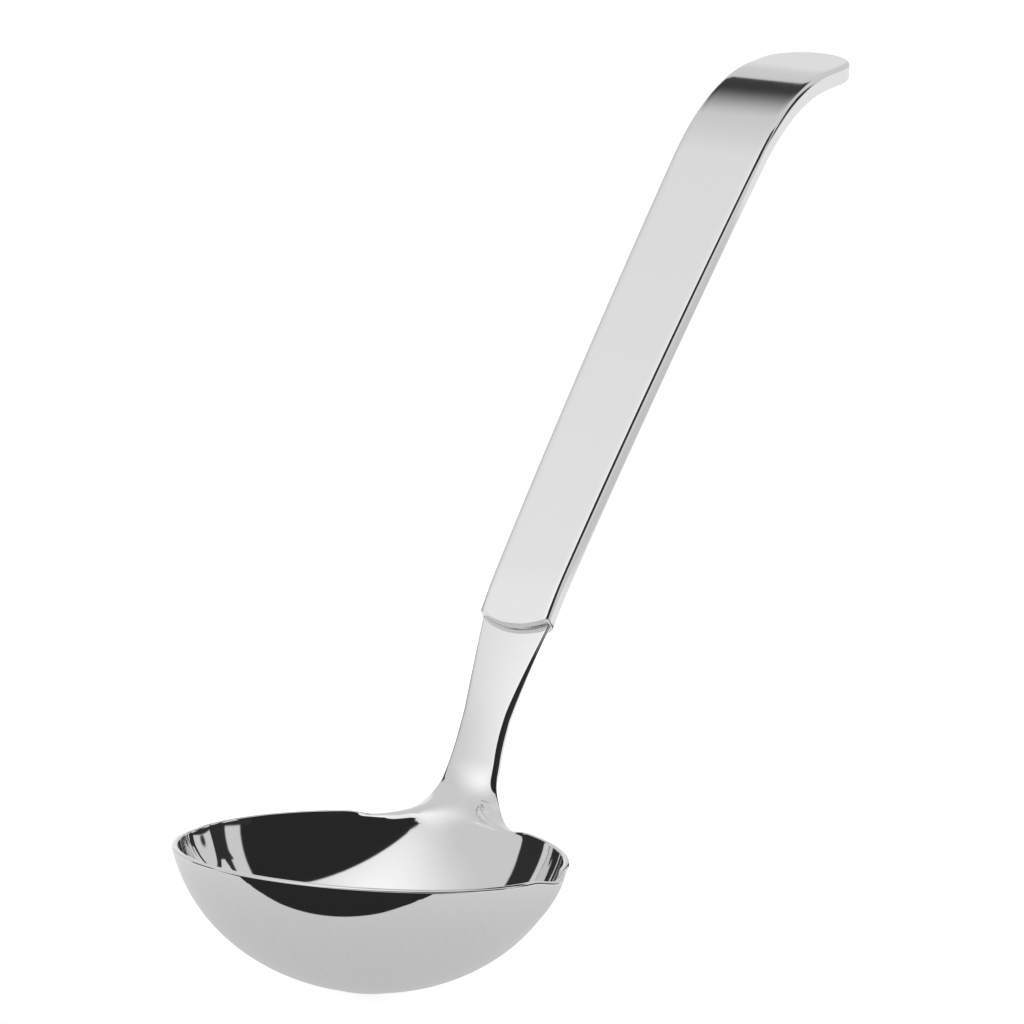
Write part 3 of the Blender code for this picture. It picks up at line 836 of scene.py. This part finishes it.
class Nodes:
    # short calls for the nodes that the materials and the world share
    def __init__(self, tree):
        self.tree = tree

    def add(self, kind, **settings):
        node = self.tree.nodes.new(kind)
        for key, value in settings.items():
            setattr(node, key, value)
        return node

    def join(self, out, socket):
        if isinstance(out, (int, float, tuple)):
            socket.default_value = out
        else:
            self.tree.links.new(out, socket)

    def math(self, operation, a, b=0.0, c=0.0, clamp=False):
        node = self.add("ShaderNodeMath", operation=operation, use_clamp=clamp)
        for value, socket in zip((a, b, c), node.inputs):
            self.join(value, socket)
        return node.outputs[0]

    def smooth(self, value, low, high, first=0.0, last=1.0):
        node = self.add("ShaderNodeMapRange", interpolation_type="SMOOTHSTEP")
        for item, socket in zip((value, low, high, first, last), node.inputs):
            self.join(item, socket)
        return node.outputs[0]

    def mix(self, share, a, b):
        node = self.add("ShaderNodeMix", data_type="RGBA")
        self.join(share, node.inputs["Factor"])
        for value, socket in ((a, node.inputs[6]), (b, node.inputs[7])):
            self.join(value, socket)
        return node.outputs[2]

    def noise(self, vector, scale, detail=2.0, roughness=0.5):
        node = self.add("ShaderNodeTexNoise")
        self.join(vector, node.inputs["Vector"])
        node.inputs["Scale"].default_value = scale
        node.inputs["Detail"].default_value = detail
        node.inputs["Roughness"].default_value = roughness
        return node.outputs[0]

    def alongVector(self, direction, vector):
        # the dot product of a direction and a fixed vector
        node = self.add("ShaderNodeVectorMath", operation="DOT_PRODUCT")
        self.join(direction, node.inputs[0])
        node.inputs[1].default_value = vector
        return node.outputs["Value"]

    def bump(self, height, strength, distance, socket):
        node = self.add("ShaderNodeBump")
        node.inputs["Strength"].default_value = strength
        node.inputs["Distance"].default_value = distance
        self.join(height, node.inputs["Height"])
        self.join(node.outputs[0], socket)


def newMaterial(name, empty=False):
    # a material and its nodes, with or without the usual shader
    material = bpy.data.materials.new(name)
    material.use_nodes = True
    if empty:
        material.node_tree.nodes.clear()
    return material, Nodes(material.node_tree)


# the studio: a white world with dark cards, seen only in reflections
studioUser = {
    "light": 0.665,  # level over the horizon in reflections
    "plain": 0.80,  # level that lights dull surfaces
    "below": 0.022,
    "horizon": (-14.0, -6.0),  # degrees
    "cards": (
        # corners as azimuth from the front to the right, and elevation, in degrees,
        # then how soft the edge is and how dark the card
        (((90, 60.8), (-12, 18.8), (103, 2), (126, 40)), 1.5, 0.022),
        (((120, 8), (150, 4), (152, 40), (141, 40)), 1.5, 0.030),
        (((-76, 4), (-96, 32), (-112, 24), (-102, 0)), 1.5, 0.030),
        (((100, -8), (146, -8), (146, 2), (100, 17.5)), 1.5, 0.030),
    ),
    # soft lights: azimuth, elevation, how far each reaches in degrees and what it adds
    "glow": ((0, 75, 50, 0.42), (0, 35, 35, 0.19), (-150, 5, 20, 0.25)),
}


def cardPlanes(corners):
    # the planes through each edge of a card and the middle of the studio
    points = [towards(a, e) for a, e in corners]
    middle = sum(points, Vector())
    planes = [p.cross(q).normalized() for p, q in zip(points, points[1:] + points[:1])]
    return [plane if plane.dot(middle) > 0.0 else -plane for plane in planes]


def makeWorld():
    u = studioUser
    world = bpy.data.worlds.new("studio")
    world.use_nodes = True
    bpy.context.scene.world = world
    nodes = Nodes(world.node_tree)
    world.node_tree.nodes.clear()
    direction = nodes.add("ShaderNodeTexCoord").outputs["Generated"]
    split = nodes.add("ShaderNodeSeparateXYZ")
    nodes.join(direction, split.inputs[0])
    elevation = nodes.math("DEGREES", nodes.math("ARCSINE", split.outputs[2]))
    level = nodes.smooth(elevation, *u["horizon"], u["below"], u["light"])
    for azimuth, height, reach, gain in u["glow"]:
        product = nodes.alongVector(direction, towards(azimuth, height))
        away = nodes.math("DEGREES", nodes.math("ARCCOSINE", product))
        level = nodes.math("ADD", level, nodes.smooth(away, 0.0, reach, gain, 0.0))
    for corners, soft, dark in u["cards"]:
        # a card is a convex outline with straight edges: the product of a soft step
        # across each of its planes
        inside = None
        halfSoft = math.radians(soft) / 2.0
        for plane in cardPlanes(corners):
            part = nodes.smooth(nodes.alongVector(direction, plane), -halfSoft, halfSoft)
            inside = part if inside is None else nodes.math("MULTIPLY", inside, part)
        node = nodes.add("ShaderNodeMix")
        nodes.join(inside, node.inputs[0])
        nodes.join(level, node.inputs[2])
        node.inputs[3].default_value = dark
        level = node.outputs[0]
    path = nodes.add("ShaderNodeLightPath").outputs
    seen = nodes.mix(path["Is Camera Ray"], level, (1.0, 1.0, 1.0, 1.0))
    direct = nodes.math("ADD", path["Is Glossy Ray"], path["Is Camera Ray"], clamp=True)
    final = nodes.mix(direct, (u["plain"],) * 3 + (1.0,), seen)
    shader = nodes.add("ShaderNodeBackground")
    nodes.join(final, shader.inputs[0])
    nodes.join(shader.outputs[0], nodes.add("ShaderNodeOutputWorld").inputs[0])


floorUser = {
    "front": -0.0485,  # where the front edge lies, in metres
    "turn": 0.09,  # and how far it is turned, in radians
    "half": 1.6,  # of the width
    "depth": 3.0,
    "shade": 0.80,
    "glow": 0.72,  # light of its own, for the camera alone
    "paintedShadeLevels": (0.64, 0.93),  # painted shade: the level of its own glow that reflections see, darker near the ladle and brighter further away
    "reach": (0.03, 0.17),  # distances between which one becomes the other
    "plainness": 0.8,  # share of that level in what reflections see
}


def makeFloor():
    # a pale table top whose straight front edge lies just in front of the bowl
    u = floorUser
    side = np.array([math.cos(u["turn"]), math.sin(u["turn"])])
    away = np.array([-math.sin(u["turn"]), math.cos(u["turn"])])
    left = np.array([0.0, u["front"]]) - side * u["half"]
    right = np.array([0.0, u["front"]]) + side * u["half"]
    corners = [left, right, right + away * u["depth"], left + away * u["depth"]]
    places = [(float(x), float(y), 0.0) for x, y in corners]
    floor, mesh = newObject("floor", places, [(0, 1, 2, 3)])
    material, nodes = newMaterial("paleFloor", empty=True)
    diffuse = nodes.add("ShaderNodeBsdfDiffuse")
    diffuse.inputs[0].default_value = (u["shade"],) * 3 + (1.0,)
    shown = nodes.add("ShaderNodeEmission")
    # reflections see the floor glow at a level of its own, darker near the ladle: painted shade
    # in what the metal reflects
    paintedShadeGlow = nodes.add("ShaderNodeEmission")
    distance = nodes.add("ShaderNodeVectorMath", operation="LENGTH")
    nodes.join(nodes.add("ShaderNodeTexCoord").outputs["Object"], distance.inputs[0])
    nodes.join(nodes.smooth(distance.outputs["Value"], *u["reach"], *u["paintedShadeLevels"]),
               paintedShadeGlow.inputs[1])
    path = nodes.add("ShaderNodeLightPath").outputs
    nodes.join(nodes.math("MULTIPLY", path["Is Camera Ray"], u["glow"]), shown.inputs[1])
    both = nodes.add("ShaderNodeAddShader")
    nodes.join(diffuse.outputs[0], both.inputs[0])
    nodes.join(shown.outputs[0], both.inputs[1])
    inMetal = nodes.math("ADD", path["Is Glossy Ray"], path["Is Transmission Ray"], clamp=True)
    choice = nodes.add("ShaderNodeMixShader")
    nodes.join(nodes.math("MULTIPLY", inMetal, u["plainness"]), choice.inputs[0])
    nodes.join(both.outputs[0], choice.inputs[1])
    nodes.join(paintedShadeGlow.outputs[0], choice.inputs[2])
    nodes.join(choice.outputs[0], nodes.add("ShaderNodeOutputMaterial").inputs[0])
    mesh.materials.append(material)


# cards that stand near the ladle: the corners of each, its level at the foot and at the
# head, and between which shares of its height the one becomes the other
cardUser = {
    "hook": {"from": (-0.0017, 0.1954, 0.1552), "azimuth": -151.5, "elevations": (30.4, 58.0),
             "distance": 0.25, "width": 0.10, "levels": (0.045, 0.70), "fade": (0.28, 1.10)},
    "neck": {"corners": ((0.030, 0.060, 0.012), (0.030, 0.137, 0.012),
                         (0.030, 0.137, 0.0485), (0.030, 0.060, 0.0600)),
             "levels": (0.030, 0.030), "fade": (0.0, 1.0)},
    "handle": {"corners": ((0.045, 0.088, 0.020), (0.045, 0.260, 0.090), (0.045, 0.225, 0.150),
                           (0.045, 0.180, 0.172), (0.045, 0.088, 0.090)),
               "levels": (0.60, 0.72), "fade": (0.0, 1.0)},
    # its plane goes through the neck's foot, which so sees it edge on
    "line": {"corners": ((0.0092, 0.0697, 0.0725), (0.0148, 0.0728, 0.0704),
                         (0.0914, 0.2023, 0.2183), (0.1432, 0.2758, 0.2894),
                         (0.0456, 0.2535, 0.3998)),
             "levels": (0.030, 0.030), "fade": (0.0, 1.0)},
}


def makeCard(name, corners, levels, fade):
    # a card that only reflections see: its level goes evenly from the foot to the head
    face = tuple(range(len(corners)))
    card, mesh = newObject(name, [tuple(c) for c in corners], [face])
    layer = mesh.uv_layers.new(name="card")
    for k, place in zip(face, ((0, 0), (1, 0), (1, 1), (0, 1), (0, 1))):
        layer.data[k].uv = place
    card.visible_camera = card.visible_diffuse = card.visible_shadow = False
    material, nodes = newMaterial(name, empty=True)
    split = nodes.add("ShaderNodeSeparateXYZ")
    nodes.join(nodes.add("ShaderNodeUVMap", uv_map="card").outputs[0], split.inputs[0])
    emission = nodes.add("ShaderNodeEmission")
    nodes.join(nodes.smooth(split.outputs[1], *fade, *levels), emission.inputs[1])
    nodes.join(emission.outputs[0], nodes.add("ShaderNodeOutputMaterial").inputs[0])
    mesh.materials.append(material)


def makeCards():
    # one above the turned-back end, a dark one beside the neck, a light one beside the
    # handle, and a dark one over the handle's right edge
    u = cardUser["hook"]
    low, high = (towards(u["azimuth"], e) for e in u["elevations"])
    eye = Vector(u["from"])
    middle = (low + high).normalized()
    foot = eye + low * (u["distance"] / low.dot(middle))
    head = eye + high * (u["distance"] / high.dot(middle))
    across = middle.cross(head - foot).normalized() * u["width"] / 2.0
    makeCard("hookCard", [foot - across, foot + across, head + across, head - across],
             u["levels"], u["fade"])
    for name in ("neck", "handle", "line"):
        u = cardUser[name]
        makeCard(name + "Card", u["corners"], u["levels"], u["fade"])


steelUser = {
    "colour": (0.86, 0.86, 0.865), "roughness": 0.035,
    "drawnOut": 0.0,  # how far highlights are drawn out
    "stretch": (8.0, 60.0, 8.0), "scale": 6.0, "detail": 3.0, "fineness": 0.6,  # marks
    "cloud": 60.0, "cloudDetail": 2.0,
    "marks": 0.02, "clouds": 0.015,  # what both add to the roughness
    "dim": 0.98, "dimBetween": (0.35, 0.65),  # brightness of the darkest marks
    "bump": 0.02, "bumpDistance": 0.00002,
}
satinUser = {**steelUser, "roughness": 0.075, "drawnOut": 0.2, "stretch": (1.0, 90.0, 1.0),
             "scale": 8.0, "cloud": 40.0, "dim": 0.985, "bump": 0.01}
plateSteelUser = {**steelUser, "colour": (0.94, 0.94, 0.945), "roughness": 0.22,
                  "stretch": (30.0, 30.0, 1.0), "scale": 8.0, "cloud": 40.0,
                  "marks": 0.04, "clouds": 0.03, "dim": 0.97}


def makeSteel(name, u):
    # steel with fine marks along its own UV: they vary the roughness and the surface
    material, nodes = newMaterial(name)
    shader = material.node_tree.nodes["Principled BSDF"]
    shader.inputs["Metallic"].default_value = 1.0
    stretch = nodes.add("ShaderNodeMapping")
    nodes.join(nodes.add("ShaderNodeUVMap", uv_map="grain").outputs[0],
               stretch.inputs["Vector"])
    stretch.inputs["Scale"].default_value = u["stretch"]
    marks = nodes.noise(stretch.outputs[0], u["scale"], u["detail"], u["fineness"])
    place = nodes.add("ShaderNodeTexCoord").outputs["Object"]
    cloud = nodes.noise(place, u["cloud"], u["cloudDetail"])
    lowest = u["roughness"] - u["marks"] / 2.0
    varied = nodes.math("MULTIPLY_ADD", marks, u["marks"], lowest)
    varied = nodes.math("MULTIPLY_ADD", cloud, u["clouds"], varied)
    nodes.join(varied, shader.inputs["Roughness"])
    bright = u["colour"] + (1.0,)
    dim = tuple(channel * u["dim"] for channel in u["colour"]) + (1.0,)
    nodes.join(nodes.mix(nodes.smooth(marks, *u["dimBetween"]), dim, bright),
               shader.inputs["Base Color"])
    shader.inputs["Anisotropic"].default_value = u["drawnOut"]
    nodes.bump(marks, u["bump"], u["bumpDistance"], shader.inputs["Normal"])
    return material


beddingUser = {
    "clouds": 300.0, "cloudDetail": 4.0, "cloudRoughness": 0.6, "cloudBetween": (0.3, 0.7),
    "paste": ((0.20, 0.19, 0.18, 1.0), (0.33, 0.32, 0.30, 1.0)),
    "sand": 2600.0, "sandBetween": (0.60, 0.72), "sandColour": (0.52, 0.50, 0.46, 1.0),
    "roughBetween": (0.2, 0.8), "roughness": (0.75, 0.95),
    "bump": 0.5, "bumpDistance": 0.0001,
}


def makeBedding():
    # hard grey filler: fine sand in a cement paste, dull, with small pores
    u = beddingUser
    material, nodes = newMaterial("beddingGrey")
    shader = material.node_tree.nodes["Principled BSDF"]
    place = nodes.add("ShaderNodeTexCoord").outputs["Object"]
    cloud = nodes.noise(place, u["clouds"], u["cloudDetail"], u["cloudRoughness"])
    sand = nodes.noise(place, u["sand"])
    colour = nodes.mix(nodes.smooth(cloud, *u["cloudBetween"]), *u["paste"])
    colour = nodes.mix(nodes.smooth(sand, *u["sandBetween"]), colour, u["sandColour"])
    nodes.join(colour, shader.inputs["Base Color"])
    nodes.join(nodes.smooth(sand, *u["roughBetween"], *u["roughness"]),
               shader.inputs["Roughness"])
    nodes.bump(sand, u["bump"], u["bumpDistance"], shader.inputs["Normal"])
    return material


def dress(piece, material):
    piece.data.materials.clear()
    piece.data.materials.append(material)


polished = makeSteel("polishedSteel", steelUser)
satinFront = makeSteel("frontSatinSteel", satinUser)
satinBack = makeSteel("backSatinSteel", {**satinUser, "roughness": 0.085})
plateSteel = makeSteel("plateSteel", plateSteelUser)
bedding = makeBedding()
dress(bowl, polished)
dress(tang, polished)
dress(frontShell, satinFront)
dress(backShell, satinBack)
dress(plate, plateSteel)
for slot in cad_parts["tang_bedding"].material_slots:
    slot.material = bedding
print("five finishes put on")

makeWorld()
makeFloor()
makeCards()
placeCamera()
bpy.context.scene.view_settings.view_transform = "Standard"
print("studio, floor, cards and camera placed")
